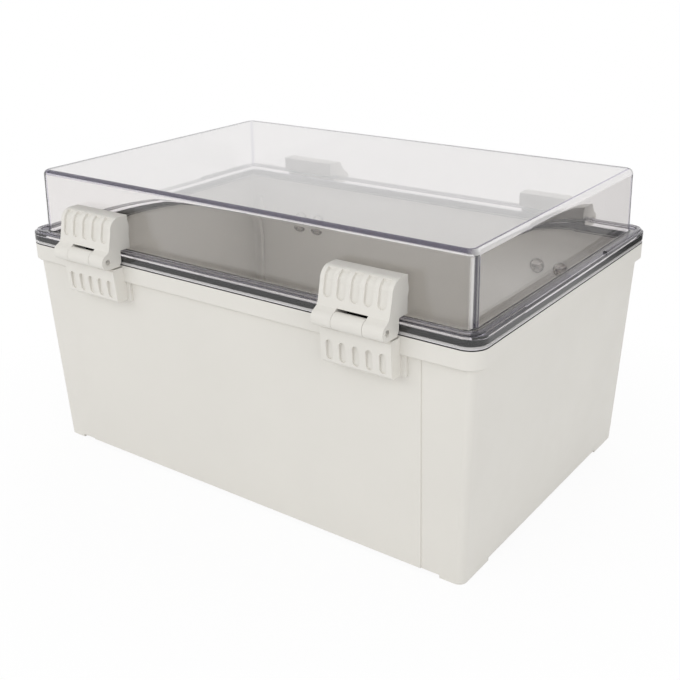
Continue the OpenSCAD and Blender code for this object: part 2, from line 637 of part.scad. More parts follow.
base_tub();
floor_inserts();
gasket();
cover();
latch_bracket_left();
latch_bracket_right();
latch_hook_left();
latch_hook_right();
latch_pin_left();
latch_pin_right();
latch_screws_left();
latch_screws_right();
latch_washers_left();
latch_washers_right();
hinge_base_leaf_left();
hinge_base_leaf_right();
hinge_cover_leaf_left();
hinge_cover_leaf_right();
hinge_pin_left();
hinge_pin_right();
hinge_screws_left();
hinge_screws_right();
hinge_washers_left();
hinge_washers_right();
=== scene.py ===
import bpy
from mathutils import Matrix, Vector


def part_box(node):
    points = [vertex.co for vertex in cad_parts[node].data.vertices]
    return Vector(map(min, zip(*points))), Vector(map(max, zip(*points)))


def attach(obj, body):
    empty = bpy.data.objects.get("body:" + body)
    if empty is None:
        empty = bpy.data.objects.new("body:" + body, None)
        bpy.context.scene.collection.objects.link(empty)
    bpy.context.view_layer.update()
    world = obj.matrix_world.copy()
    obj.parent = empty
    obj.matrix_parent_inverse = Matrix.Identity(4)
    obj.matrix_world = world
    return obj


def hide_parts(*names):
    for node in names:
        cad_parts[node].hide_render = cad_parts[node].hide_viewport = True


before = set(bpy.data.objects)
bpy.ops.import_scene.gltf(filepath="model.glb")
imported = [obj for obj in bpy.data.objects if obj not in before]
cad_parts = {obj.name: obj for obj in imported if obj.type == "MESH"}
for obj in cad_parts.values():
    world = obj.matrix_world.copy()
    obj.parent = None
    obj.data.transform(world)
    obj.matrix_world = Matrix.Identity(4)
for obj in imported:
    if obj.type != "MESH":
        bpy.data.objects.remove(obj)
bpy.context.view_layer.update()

from math import cos, exp, pi, radians, sin

import bmesh
import bpy
from bpy.props import FloatProperty, FloatVectorProperty, IntProperty, PointerProperty
from mathutils import Matrix, Vector

bl_info = {
    "name": "Clear-cover enclosure",
    "version": (1, 0, 0),
    "blender": (4, 5, 0),
    "location": "3D View > Sidebar > Enclosure",
    "description": "Finished pieces, materials and studio for a hinged electrical enclosure",
    "category": "Object",
}

MM = 0.001
SIDES = ("left", "right")


# ---------------------------------------------------------------- settings


def length(name, description, default):
    return FloatProperty(
        name=name, description=description, default=default, min=0.0, unit="LENGTH", precision=5
    )


def colour(name, description, default):
    return FloatVectorProperty(
        name=name, description=description, default=default, min=0.0, max=1.0, size=3,
        subtype="COLOR",
    )


def power(name, description, default):
    return FloatProperty(
        name=name, description=description, default=default, min=0.0, unit="POWER"
    )


def share(name, description, default):
    return FloatProperty(
        name=name, description=description, default=default, min=0.0, max=1.0, subtype="FACTOR"
    )


def angle(name, description, degrees):
    return FloatProperty(
        name=name, description=description, default=radians(degrees), subtype="ANGLE"
    )


class EnclosureSizes(bpy.types.PropertyGroup):
    """Sizes of the clear cover, the rubber rings and the softened edges"""

    cover_wall: length("Cover wall", "Wall thickness of the clear cover", 0.003)
    cover_corner: length("Cover corner", "Radius of the cover's upright corners", 0.006)
    cover_edge: length("Cover edge", "Radius of the edge round the cover's top", 0.003)
    cover_draft: length("Cover draft", "How far each cover wall leans in", 0.0008)
    cover_inner_edge: length(
        "Cover inner edge", "Radius of the edge inside the cover's top", 0.0007
    )
    cover_inner_corner: length(
        "Cover inner corner", "Radius of the upright corners inside the cover", 0.0016
    )
    cover_flare: length(
        "Cover flare", "How much thicker the cover's wall gets near its top", 0.00022
    )
    flange_reach: length(
        "Flange reach", "How far the flange stands out from the cover's wall", 0.0073
    )
    flange_height: length("Flange height", "Height of the flange's skirt", 0.0066)
    flange_plate: length("Flange plate", "Thickness of the flange above the gasket", 0.0019)
    flange_corner: length("Flange corner", "Corner radius of the flange in plan", 0.010)
    skirt: length("Skirt", "Thickness of the flange's skirt", 0.0023)
    bead_height: length("Bead height", "Height of the bead on top of the flange", 0.0013)
    bead_width: length("Bead width", "Width of that bead", 0.0024)
    bead_inset: length(
        "Bead inset", "Distance from the flange's outer edge to the bead", 0.0016
    )
    bead_front: length(
        "Front bead", "How far the front bead runs back along each end", 0.0495
    )
    bead_rear: length(
        "Rear bead", "How far the rear bead runs forward along each end", 0.0605
    )
    lip_height: length(
        "Lip height", "Height of the notch for the lip of a hinge leaf", 0.0016
    )
    gasket_lip: length(
        "Gasket lip", "How far the gasket's outer lip hangs below its foot", 0.0009
    )
    gasket_heel: length(
        "Gasket heel", "How far the gasket's inner lip hangs below its foot", 0.0015
    )
    gasket_edge: length(
        "Gasket edge", "Size of the bevel along the gasket's edges", 0.00025
    )
    # the next two place a thin black strip on the rim as painted shadow in the gap under the
    # cover's skirt
    shadow_strip_below: length(
        "Seal below cover", "From the cover's foot down to the rim that carries the seal", 0.0005
    )
    shadow_strip_thickness: length(
        "Seal thickness", "Thickness of the flat seal on the rim", 0.00026
    )
    mould_edge: length("Moulded edge", "Radius of the small edges on the base", 0.00028)
    grip_edge: length("Grip edge", "Radius of the edges on latches and hinges", 0.0009)
    corner_steps: IntProperty(
        name="Corner steps", description="Steps round each upright corner of the cover",
        default=16, min=4, max=24,
    )


class EnclosureColours(bpy.types.PropertyGroup):
    """Colours of the mouldings, the rubber and the metal"""

    base_ivory: colour("Base", "Colour of the moulded base", (0.742, 0.722, 0.675))
    latch_ivory: colour(
        "Latches and hinges", "Colour of the latches and hinges", (0.742, 0.722, 0.675)
    )
    clear_tint: colour(
        "Clear cover", "What the clear cover lets through over a long path", (0.50, 0.42, 0.60)
    )
    clear_flat: colour(
        "Clear cover walls", "Tint of the flat walls of the clear cover", (0.955, 0.943, 0.930)
    )
    # violet edge colour: partly the plastic's own colour, partly painted shade in the thick edges
    # and corners
    clear_edge_tint_and_shade: colour(
        "Clear cover edges", "Tint in the cover's thick edges and corners", (0.40, 0.36, 0.56)
    )
    # painted light: a light colour with less light let through, as painted highlight and
    # reflection on the cover's top, edges, corners and foot
    clear_glow: colour(
        "Clear cover glow", "Milky light in the cover's foot and corners", (0.935, 0.920, 0.918)
    )
    gasket_black: colour("Gasket", "Colour of the rubber gasket", (0.011, 0.011, 0.012))
    steel: colour("Steel", "Colour of the pins", (0.66, 0.645, 0.62))
    screw_steel: colour("Screw steel", "Colour of screws and washers", (0.46, 0.43, 0.395))
    brass: colour("Brass", "Colour of the threaded inserts", (0.72, 0.53, 0.22))


class EnclosureStage(bpy.types.PropertyGroup):
    """Floor, lamps and camera"""

    sky_level: FloatProperty(
        name="Sky", description="Level of the light from all round", default=0.66, min=0.0
    )
    key_level: power("Key lamp", "Power of the soft lamp at the front left", 8.2)
    side_level: power("Side lamp", "Power of the soft lamp at the right", 6.4)
    rear_level: power("Rear lamp", "Power of the soft lamp behind", 6.0)
    inside_level: power(
        "Light through the cover", "Power of the soft light inside the box", 0.057
    )
    floor_shadow: share(
        "Floor shadow", "How much of the shadow shows on the floor", 0.08
    )
    card_level: share("Dark card", "How bright the card at the right is in mirrors", 0.1)
    lens: FloatProperty(
        name="Lens", description="Focal length of the camera in millimetres", default=52.745,
        min=1.0,
    )
    eye: FloatVectorProperty(
        name="Camera place", description="Where the camera stands",
        default=(0.34338, -0.46704, 0.30803), size=3, subtype="XYZ", unit="LENGTH",
    )
    turn: angle("Camera turn", "Turn of the camera from +Y, to the left", 36.1143)
    dip: angle("Camera dip", "How far the camera looks down", 22.6539)
    roll: angle("Camera roll", "Roll of the camera", -0.80452)


# ---------------------------------------------------------------- pieces

WELD = 2e-6         # loose triangles of a CAD part are joined within this distance
FLAT_ANGLE = 0.4    # degrees: faces that meet at less than this are one face
SHARP_ANGLE = 28.0  # degrees: edges above this are rounded


def new_piece(name, bm, smooth_angle=35.0):
    """An object at the origin from a bmesh, smooth except where faces meet above the angle."""
    mesh = bpy.data.meshes.new(name)
    bm.to_mesh(mesh)
    bm.free()
    mesh.polygons.foreach_set("use_smooth", [True] * len(mesh.polygons))
    mesh.set_sharp_from_angle(angle=radians(smooth_angle))
    obj = bpy.data.objects.new(name, mesh)
    bpy.context.scene.collection.objects.link(obj)
    even = obj.modifiers.new("Even shading", "WEIGHTED_NORMAL")
    even.keep_sharp = True
    return obj


def paint(obj, surface):
    obj.data.materials.clear()
    obj.data.materials.append(surface)


def paint_node(node, surface):
    paint(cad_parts[node], surface)


def finish_piece(obj, body, slot, surface, *nodes):
    """Paints a piece and the CAD nodes that it stands for, and lets it ride on its body."""
    paint(obj, surface)
    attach(obj, body)
    if nodes:
        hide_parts(*nodes)
    for node in nodes:
        paint_node(node, surface)


def softened(node, name, radius, segments=3):
    """A copy of a CAD part, its triangles joined into whole faces and its sharp edges rounded."""
    bm = bmesh.new()
    bm.from_mesh(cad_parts[node].data)
    bmesh.ops.remove_doubles(bm, verts=bm.verts, dist=WELD)
    bmesh.ops.dissolve_limit(
        bm, angle_limit=radians(FLAT_ANGLE), use_dissolve_boundaries=False,
        verts=bm.verts, edges=bm.edges,
    )
    sharp = [
        e for e in bm.edges
        if len(e.link_faces) == 2 and e.calc_face_angle(0.0) > radians(SHARP_ANGLE)
    ]
    bmesh.ops.bevel(
        bm, geom=sharp, offset=radius, offset_type="OFFSET", segments=segments, profile=0.5,
        affect="EDGES", clamp_overlap=True, loop_slide=True, material=-1,
    )
    return new_piece(name, bm)


def finish_pairs(sizes, surface, pairs):
    """Softens and finishes the left and the right one of each pair of node and body names."""
    for side in SIDES:
        for part, carrier in pairs:
            node, body = part.format(side), carrier.format(side)
            piece = softened(node, "moulded_" + node, sizes.grip_edge)
            finish_piece(piece, body, "latch_plastic", surface, node)


# ---------------------------------------------------------------- materials

# sockets of a Mix node that mixes colours
MIX_FACTOR, MIX_FIRST, MIX_SECOND, MIX_RESULT = 0, 6, 7, 2


class Nodes:
    """Adds and links the nodes of a material or a world."""

    def __init__(self, owner):
        owner.use_nodes = True
        self.tree = owner.node_tree
        self.tree.nodes.clear()

    def add(self, kind, **values):
        """A new node. Each value goes to the input of that name, or else to the setting."""
        node = self.tree.nodes.new(kind)
        for key, value in values.items():
            if key in node.inputs:
                node.inputs[key].default_value = value
            else:
                setattr(node, key, value)
        return node

    def link(self, source, output, target, socket):
        self.tree.links.new(source.outputs[output], target.inputs[socket])

    def maths(self, operation, *sources):
        """A Math node fed by pairs of a node and its output."""
        node = self.add("ShaderNodeMath", operation=operation)
        for socket, (source, output) in enumerate(sources):
            self.link(source, output, node, socket)
        return node

    def spread(self, source, output, low, high, start=0.0, end=1.0):
        """Maps an output from start and end to low and high."""
        node = self.add("ShaderNodeMapRange", **{
            "From Min": start, "From Max": end, "To Min": low, "To Max": high,
        })
        self.link(source, output, node, "Value")
        return node


class Surface(Nodes):
    """A material with one principled shader and patterns on its object's own coordinates."""

    def __init__(self, name, **values):
        self.material = bpy.data.materials.new(name)
        super().__init__(self.material)
        self.output = self.add("ShaderNodeOutputMaterial")
        self.shader = self.add("ShaderNodeBsdfPrincipled", **values)
        self.link(self.shader, "BSDF", self.output, "Surface")
        self.place = self.add("ShaderNodeTexCoord")

    def noise(self, scale, detail=3.0, roughness=0.5):
        node = self.add("ShaderNodeTexNoise", Scale=scale, Detail=detail, Roughness=roughness)
        self.link(self.place, "Object", node, "Vector")
        return node

    def blend(self, factor, output, first, second):
        """Mixes two colours by an output."""
        node = self.add("ShaderNodeMix", data_type="RGBA")
        node.inputs[MIX_FIRST].default_value = (*first, 1.0)
        node.inputs[MIX_SECOND].default_value = (*second, 1.0)
        self.link(factor, output, node, MIX_FACTOR)
        return node

    def rough(self, source, low, high, start=0.0, end=1.0):
        """Roughness from low to high, by the noise."""
        self.link(self.spread(source, "Fac", low, high, start, end), "Result",
                  self.shader, "Roughness")

    def bump(self, source, strength, distance):
        node = self.add("ShaderNodeBump", Strength=strength, Distance=distance)
        self.link(source, "Fac", node, "Height")
        self.link(node, "Normal", self.shader, "Normal")

    def tinted(self, source, start, end, first, second):
        """Base colour from first to second, by the noise."""
        level = self.spread(source, "Fac", 0.0, 1.0, start, end)
        mix = self.blend(level, "Result", first, second)
        self.link(mix, MIX_RESULT, self.shader, "Base Color")


def shade(base, factor):
    return tuple(min(1.0, c * factor) for c in base)


def moulded_plastic(name, base):
    """Moulded ivory plastic: a fine spark-eroded grain, soft uneven sheen and colour drift."""
    s = Surface(name, IOR=1.5)
    drift = s.noise(scale=14.0, detail=4.0)
    s.tinted(drift, 0.3, 0.7, shade(base, 0.985), shade(base, 1.012))
    sheen = s.noise(scale=90.0, detail=5.0)
    s.rough(sheen, low=0.40, high=0.52, start=0.3, end=0.7)
    grain = s.noise(scale=1500.0, detail=2.0, roughness=0.6)
    s.bump(grain, strength=0.12, distance=0.08 * MM)
    return s.material


def clear_polycarbonate(name, colours):
    """Clear moulded polycarbonate: polished, with a faint ripple and a violet colour along long
    paths. Its thick edges and corners are violet, partly the plastic's colour and partly painted
    shade, and it carries painted highlight and reflection where its light mask says so."""
    s = Surface(name, IOR=1.58)
    # violet edge colour, partly painted shade
    thick = s.add("ShaderNodeAttribute", attribute_name="edge_tint_and_shade")
    # painted highlight and reflection, as a light colour
    glow = s.add("ShaderNodeAttribute", attribute_name="edge_glow")
    tint = s.blend(thick, "Fac", colours.clear_flat, colours.clear_edge_tint_and_shade)
    lit = s.blend(glow, "Fac", colours.clear_flat, colours.clear_glow)
    s.link(tint, MIX_RESULT, lit, MIX_FIRST)
    s.link(lit, MIX_RESULT, s.shader, "Base Color")
    # less light passes where the shade and the light are painted
    clear = s.spread(thick, "Fac", low=0.985, high=0.88)
    unlit = s.spread(glow, "Fac", low=1.0, high=0.42)
    passed = s.maths("MULTIPLY", (clear, "Result"), (unlit, "Result"))
    s.link(passed, "Value", s.shader, "Transmission Weight")
    ripple = s.noise(scale=40.0)
    s.rough(ripple, low=0.0, high=0.006, start=0.35, end=0.75)
    depth = s.add("ShaderNodeVolumeAbsorption", Color=(*colours.clear_tint, 1.0), Density=14.0)
    s.link(depth, "Volume", s.output, "Volume")
    return s.material


def gasket_rubber(name, base):
    """Dense black rubber with a dusty, slightly uneven surface."""
    s = Surface(name, **{"Specular IOR Level": 0.2})
    dust = s.noise(scale=350.0, detail=4.0)
    s.tinted(dust, 0.35, 0.7, base, shade(base, 1.6))
    s.rough(dust, low=0.62, high=0.82)
    s.bump(dust, strength=0.2, distance=0.1 * MM)
    return s.material


def plated_metal(name, base, low, high):
    """Plated or turned metal with fine scratches in its shine, rough from low to high."""
    s = Surface(name, Metallic=1.0)
    wear = s.noise(scale=600.0, detail=4.0, roughness=0.6)
    s.tinted(wear, 0.3, 0.7, shade(base, 0.92), base)
    s.rough(wear, low, high)
    return s.material


# ---------------------------------------------------------------- rings

BESIDE = 0.8 * MM   # from the end of each arc to the next point on the straight
CORNERS = ((1, -1, -90), (1, 1, 0), (-1, 1, 90), (-1, -1, 180))
LOFT_ANGLE = 40.0   # degrees: lofted pieces are smooth where faces meet at less than this


def outline(half_x, half_y, radius, stops, steps):
    """Points of a rectangle with round corners, anticlockwise from the front right corner.

    Each corner has one more point on the straight to either side of its arc. Stops are the
    places of the points along the two ends, and of those along the rear."""
    ends, rear = stops
    straights = (
        [(half_x, y) for y in ends],
        [(x, half_y) for x in rear],
        [(-half_x, y) for y in reversed(ends)],
        [],
    )
    points = []
    for (sx, sy, start), straight in zip(CORNERS, straights):
        cx, cy = sx * (half_x - radius), sy * (half_y - radius)
        first, last = radians(start), radians(start + 90.0)
        points.append((
            cx + radius * cos(first) - BESIDE * cos(last),
            cy + radius * sin(first) - BESIDE * sin(last),
        ))
        for a in arc(steps, start, start + 90.0):
            points.append((cx + radius * cos(a), cy + radius * sin(a)))
        points.append((
            cx + radius * cos(last) - BESIDE * cos(first),
            cy + radius * sin(last) - BESIDE * sin(first),
        ))
        points += straight
    return points


def arc(steps, start, end):
    """Angles from start to end, given in degrees, in equal steps."""
    return [radians(start + (end - start) * k / steps) for k in range(steps + 1)]


def loop_edges(bm, verts):
    return [bm.edges.get((verts[i - 1], verts[i])) for i in range(len(verts))]


def loft(bm, rings, values=None):
    """Extrudes a loop of edges from ring to ring and returns the loops of points.

    values holds one list of numbers per ring for each named layer."""
    layers = [(bm.verts.layers.float.new(name), rows) for name, rows in (values or {}).items()]

    def settle(verts, step):
        for vert, place in zip(verts, rings[step]):
            vert.co = place
        for layer, rows in layers:
            for vert, number in zip(verts, rows[step]):
                vert[layer] = number

    loops = [bmesh.ops.create_circle(bm, segments=len(rings[0]), radius=1.0)["verts"]]
    settle(loops[0], 0)
    for step in range(1, len(rings)):
        grown = bmesh.ops.extrude_edge_only(bm, edges=loop_edges(bm, loops[-1]))["geom"]
        fresh = {g for g in grown if isinstance(g, bmesh.types.BMVert)}
        loops.append([
            next(e.other_vert(v) for e in v.link_edges if e.other_vert(v) in fresh)
            for v in loops[-1]
        ])
        settle(loops[-1], step)
    return loops


def lofted_piece(name, bm, loops):
    """Turns the faces outward and numbers everything loop by loop, the same in each run."""
    bmesh.ops.recalc_face_normals(bm, faces=bm.faces)
    for number, vert in enumerate(v for loop in loops for v in loop):
        vert.index = number
    bm.verts.sort()
    bm.verts.index_update()
    count = len(bm.verts)

    def rank(part):
        numbers = [v.index for v in part.verts]
        return max(numbers) * count + min(numbers)

    bm.edges.sort(key=rank)
    bm.faces.sort(key=rank)
    return new_piece(name, bm, LOFT_ANGLE)


# ---------------------------------------------------------------- clear cover

NOTCH_PLAY = 0.1 * MM   # room beside the lip of a hinge leaf
NOTCH_SIDE = 0.02 * MM  # half the width of a notch's steep side
BEAD_RAMP = 0.5 * MM    # how far the bead takes to sink into the flange
TOP_INNER = 0.9 * MM    # two more loops on the flat top, inside its rounded edge
TOP_OUTER = 0.4 * MM
WALL_GUARD = 0.4 * MM   # the loop just below the rounded edge
FILLET = 0.7 * MM       # where the wall meets the flange
BEAD_EASE = 0.35 * MM   # small slope inside the bead
BEAD_INSIDE = 0.3 * MM  # height of the bead's lowest loops
BEAD_OUTSIDE = 0.25 * MM
BEAD_SOFT = 0.45 * MM   # roundings of the bead, the flange and the skirt's foot
FLANGE_SOFT = 0.7 * MM
SKIRT_SOFT = 0.35 * MM
CHAMFER = 0.3 * MM      # bevels in the gasket's channel and at the wall's foot
PAINTED_LIGHT_FROM = (1.75 * MM, 1.55 * MM)  # the painted light on the skirt's foot starts between these heights
FLARE_LOOPS = 15        # loops a millimetre apart, on which the wall grows thicker
DRAFT_SHARE = 0.02      # part of the draft that is lost with each of them
BEAD_SLACK = 0.01 * MM  # the points where the bead has sunk are found within this

# violet edge colour with painted shade, and painted light, in pairs: along the front and the
# rear, and along the two ends
PLAIN = (0.0, 0.0)
VIOLET = (0.5, 0.5)
# painted reflection on the flat top and painted highlight on the skirt's foot
TOP_PAINTED_LIGHT = (0.55, 0.55)
FOOT_PAINTED_LIGHT = (0.75, 0.55)
CORNER_SHARE = 0.9      # share of the violet edge colour with painted shade and of the painted light on the wall in the upright corners

# bands of painted dark lines and painted light round an upright corner, as shares of its turn:
# middle, width and strength
TWO_LINES = ((0.68, 0.06, 1.0), (0.89, 0.05, 1.0))
LIGHT_BETWEEN = ((0.48, 0.10, 1.0), (0.79, 0.04, 0.8))
ONE_BAND = ((0.5, 0.2, 1.0),)
NO_BAND = ()


def banded(turn, bands):
    """The strongest of the bands at each share of a corner's turn."""
    return [
        max((peak * exp(-(((t - middle) / width) ** 2)) for middle, width, peak in bands),
            default=0.0)
        for t in turn
    ]


def top_edge_looks(rise):
    """Violet edge colour with painted shade, and painted highlight, on the rounded top edge. Rise
    goes from 0 at the wall to 1 on the top.
    """
    # the ends get painted highlight and painted shade only at the top, the front and the rear
    # more painted shade
    tint = (1.0 if rise > 0.5 else 0.0, 0.9 if rise > 0.95 else 0.0)
    return {"tint": tint, "glow": (0.0, 0.9 if 0.15 < rise < 0.95 else 0.0)}


class CoverRings:
    """The loops of the clear cover, with a violet edge colour that carries painted shade, and a
    painted light, at each of their points.
    """

    def __init__(self, sizes):
        self.sizes = sizes
        low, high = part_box("cover")
        self.half_x, self.half_y, self.foot, self.top = high.x, high.y, low.z, high.z
        self.flange_top = self.foot + sizes.flange_height
        self.no_bead = (-self.half_y + sizes.bead_front, self.half_y - sizes.bead_rear)
        leaf_low, leaf_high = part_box("hinge_cover_leaf_right")
        self.notch = (leaf_low.x - NOTCH_PLAY, leaf_high.x + NOTCH_PLAY)
        ends = (self.no_bead[0] - BEAD_RAMP, *self.no_bead, self.no_bead[1] + BEAD_RAMP)
        rear = [edge + way * NOTCH_SIDE for edge in reversed(self.notch) for way in (1, -1)]
        self.stops = (ends, rear + [-x for x in reversed(rear)])
        self.places, self.tints, self.glows = [], [], []
        self.share_out(len(ends), len(self.stops[1]))

    def share_out(self, at_ends, at_rear):
        """For each point of a loop: how much it faces front or rear, and its share of the
        violet edge colour with painted shade and of the painted light in the upright corners."""
        steps = self.sizes.corner_steps
        turn = [k / steps for k in range(steps + 1)]
        facing = [1.0] + [cos(0.5 * pi * t) ** 2 for t in turn] + [0.0]
        self.to_front, self.in_tint, self.in_glow = [], [], []
        for corner, count in enumerate((at_ends, at_rear, at_ends, 0)):
            to_end = corner % 2 == 0
            self.to_front += facing if to_end else facing[::-1]
            self.to_front += [0.0 if to_end else 1.0] * count
            # the right front corner comes first and is the only one with painted light between
            # its painted dark lines
            tint, glow = (ONE_BAND, NO_BAND) if corner else (TWO_LINES, LIGHT_BETWEEN)
            self.in_tint += [0.0] + banded(turn, tint) + [0.0] * (count + 1)
            self.in_glow += [0.0] + banded(turn, glow) + [0.0] * (count + 1)

    def add(self, inset, radius, height, bead=False, lip=False, tint=PLAIN, glow=PLAIN,
            corner=0.0):
        """One loop round the cover. The violet edge colour with its painted shade, and the
        painted
        light, are pairs: along the front and the rear, and along the two ends. Corner is their
        least share in the upright corners."""

        def mixed(pair, least):
            along, across = pair
            return [
                max(across + (along - across) * f, corner * c)
                for f, c in zip(self.to_front, least)
            ]

        self.tints.append(mixed(tint, self.in_tint))
        self.glows.append(mixed(glow, self.in_glow))
        sizes, placed = self.sizes, []
        for x, y in outline(self.half_x - inset, self.half_y - inset, radius, self.stops,
                            sizes.corner_steps):
            z = height
            sunk = self.no_bead[0] - BEAD_SLACK <= y <= self.no_bead[1] + BEAD_SLACK
            if bead and sunk and abs(x) > self.half_x - sizes.flange_corner:
                z = min(z, self.flange_top)
            at_rear = y > self.half_y - sizes.flange_corner
            if lip and at_rear and self.notch[0] < abs(x) < self.notch[1]:
                z = z + sizes.lip_height
            placed.append((x, y, z))
        self.places.append(placed)

    def on_flange(self, inset, height, **looks):
        """One loop with the plan of the flange, at an inset from its outer edge."""
        self.add(inset, self.sizes.flange_corner - inset, height, **looks)

    def rounding(self, angles, face, way, level, side, radius, **looks):
        """Loops round an edge of the flange, between an upright face and a level one.

        Way is 1 where the material lies inwards of the upright face, and -1 where it lies
        outwards. Side is 1 where it lies below the level face, and -1 where it lies above."""
        for a in angles:
            self.on_flange(face + way * radius * (1 - cos(a)),
                           level - side * radius * (1 - sin(a)), **looks)

    def top_and_wall(self):
        """The flat top, its rounded edge, the outer wall and the fillet at its foot."""
        sizes, wall_face = self.sizes, self.sizes.flange_reach + self.sizes.cover_draft
        edge, corner = sizes.cover_edge, sizes.cover_corner
        for inside in (TOP_INNER, TOP_OUTER):
            self.add(wall_face + edge + inside, corner - edge, self.top, glow=TOP_PAINTED_LIGHT)
        for a in arc(8, 90, 0):
            self.add(wall_face + edge * (1 - cos(a)), corner - edge * (1 - cos(a)),
                     self.top - edge * (1 - sin(a)), **top_edge_looks(sin(a)))
        self.add(wall_face, corner, self.top - edge - WALL_GUARD, corner=CORNER_SHARE)
        for step, a in enumerate(arc(4, 180, 270)):
            self.add(sizes.flange_reach - FILLET * (1 + cos(a)), corner,
                     self.flange_top + FILLET * (1 + sin(a)),
                     corner=0.0 if step else CORNER_SHARE)

    def bead_and_skirt(self):
        """The flange's top with its bead, the outer edge and the skirt round its foot."""
        sizes, flange_top, foot = self.sizes, self.flange_top, self.foot
        bead_top = flange_top + sizes.bead_height
        outer, inner = sizes.bead_inset, sizes.bead_inset + sizes.bead_width
        self.on_flange(inner + BEAD_EASE, flange_top, tint=VIOLET)
        on_bead = {"bead": True, "tint": VIOLET}
        self.on_flange(inner, flange_top + BEAD_INSIDE, **on_bead)
        self.rounding(arc(3, 0, 90), inner, -1, bead_top, 1, BEAD_SOFT, **on_bead)
        self.rounding(arc(3, 90, 0), outer, 1, bead_top, 1, BEAD_SOFT, **on_bead)
        self.on_flange(outer, flange_top + BEAD_OUTSIDE, **on_bead)
        # outer edge: violet, partly painted shade, on its upper half
        outward = arc(5, 90, 0)
        self.rounding(outward[:3], 0.0, 1, flange_top, 1, FLANGE_SOFT, tint=VIOLET)
        self.rounding(outward[3:], 0.0, 1, flange_top, 1, FLANGE_SOFT)
        # skirt, which makes way for the lips of the hinge leaves
        self.on_flange(0.0, foot + PAINTED_LIGHT_FROM[0], lip=True)
        self.on_flange(0.0, foot + PAINTED_LIGHT_FROM[1], lip=True, glow=FOOT_PAINTED_LIGHT)
        self.rounding(arc(3, 0, 90), 0.0, 1, foot, -1, SKIRT_SOFT, lip=True, glow=FOOT_PAINTED_LIGHT)
        self.rounding(arc(3, 90, 0), sizes.skirt, -1, foot, -1, SKIRT_SOFT, lip=True)

    def channel_and_inside(self):
        """The gasket's channel, the foot of the wall, its inside and the inner top edge."""
        sizes, foot = self.sizes, self.foot
        reach, corner = sizes.flange_reach, sizes.cover_corner
        inner_corner = sizes.cover_inner_corner
        under = self.flange_top - sizes.flange_plate
        self.on_flange(sizes.skirt, under - CHAMFER)
        self.on_flange(sizes.skirt + CHAMFER, under)
        self.add(reach - CHAMFER, corner, under)
        self.add(reach, corner, under - CHAMFER)
        self.add(reach, corner, foot + CHAMFER)
        self.add(reach + CHAMFER, corner - CHAMFER, foot)
        wall_face, ceiling = reach + sizes.cover_wall, self.top - sizes.cover_wall
        self.add(wall_face - CHAMFER, inner_corner + CHAMFER, foot)
        self.add(wall_face, inner_corner, foot + CHAMFER)
        for below in range(FLARE_LOOPS, 0, -1):
            flare = sizes.cover_flare * (1.0 - below / FLARE_LOOPS) ** 3
            self.add(wall_face + sizes.cover_draft * (1.0 - DRAFT_SHARE * below) + flare,
                     inner_corner, ceiling - below * MM)
        inside = sizes.cover_inner_edge
        for a in arc(5, 0, 90):
            self.add(wall_face + sizes.cover_draft + sizes.cover_flare + inside * (1 - cos(a)),
                     inner_corner - inside * (1 - cos(a)), ceiling - inside * (1 - sin(a)))


def make_clear_cover(sizes):
    rings = CoverRings(sizes)
    rings.top_and_wall()
    rings.bead_and_skirt()
    rings.channel_and_inside()
    bm = bmesh.new()
    values = {"edge_tint_and_shade": rings.tints, "edge_glow": rings.glows}
    loops = loft(bm, rings.places, values)
    for loop in (loops[0], loops[-1]):
        bmesh.ops.contextual_create(bm, geom=loop_edges(bm, loop))
    return lofted_piece("clear_cover", bm, loops)


# ---------------------------------------------------------------- rubber rings

SQUEEZE = 0.02 * MM     # the gasket presses this far into the skirt and the wall
LIP_WIDTH = 0.6 * MM
HEEL_WIDTH = 0.5 * MM
# a thin black strip on the rim as painted shadow in the gap under the skirt
SHADOW_STRIP_INSETS = (0.15 * MM, 2.1 * MM)  # from the skirt's outer face
SHADOW_STRIP_SOFT = 0.06 * MM


def rubber_ring(name, sizes, profile):
    """A closed ring that follows the flange. Profile is its section: insets and heights."""
    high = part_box("cover")[1]
    rings = []
    for inset, height in profile:
        radius = max(sizes.flange_corner - inset, sizes.cover_corner - SQUEEZE)
        points = outline(high.x - inset, high.y - inset, radius, ((), ()), sizes.corner_steps)
        rings.append([(x, y, height) for x, y in points])
    bm = bmesh.new()
    loops = loft(bm, rings)
    bmesh.ops.bridge_loops(bm, edges=loop_edges(bm, loops[0]) + loop_edges(bm, loops[-1]))
    return lofted_piece(name, bm, loops)


def make_gasket(sizes):
    """Fills the channel under the flange, with a lip beside the skirt and one by the wall."""
    low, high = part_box("gasket")
    outer, inner = sizes.skirt - SQUEEZE, sizes.flange_reach + SQUEEZE
    soft = sizes.gasket_edge
    nick = soft * 0.5
    heel_side, heel_foot = inner - HEEL_WIDTH, low.z - sizes.gasket_heel
    lip_side, lip_foot = outer + LIP_WIDTH, low.z - sizes.gasket_lip
    return rubber_ring("rubber_gasket", sizes, (
        (inner, heel_foot + nick), (inner - nick, heel_foot),
        (heel_side + nick, heel_foot), (heel_side, heel_foot + nick),
        (heel_side, low.z), (lip_side, low.z),
        (lip_side, lip_foot + soft), (lip_side - soft, lip_foot),
        (outer + nick, lip_foot), (outer, lip_foot + soft),
        (outer, high.z - soft), (outer + soft, high.z),
        (inner - soft, high.z), (inner, high.z - soft),
    ))


def make_gap_shadow_strip(sizes):
    """A thin flat black ring on the rim of the base under the cover's skirt, as painted shadow in
    the gap there.
    """
    outer, inner = SHADOW_STRIP_INSETS
    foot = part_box("cover")[0].z - sizes.shadow_strip_below
    top = foot + sizes.shadow_strip_thickness
    return rubber_ring("gap_shadow_strip", sizes, (
        (inner, foot), (outer, foot),
        (outer, top - SHADOW_STRIP_SOFT), (outer + SHADOW_STRIP_SOFT, top),
        (inner - SHADOW_STRIP_SOFT, top), (inner, top - SHADOW_STRIP_SOFT),
    ))


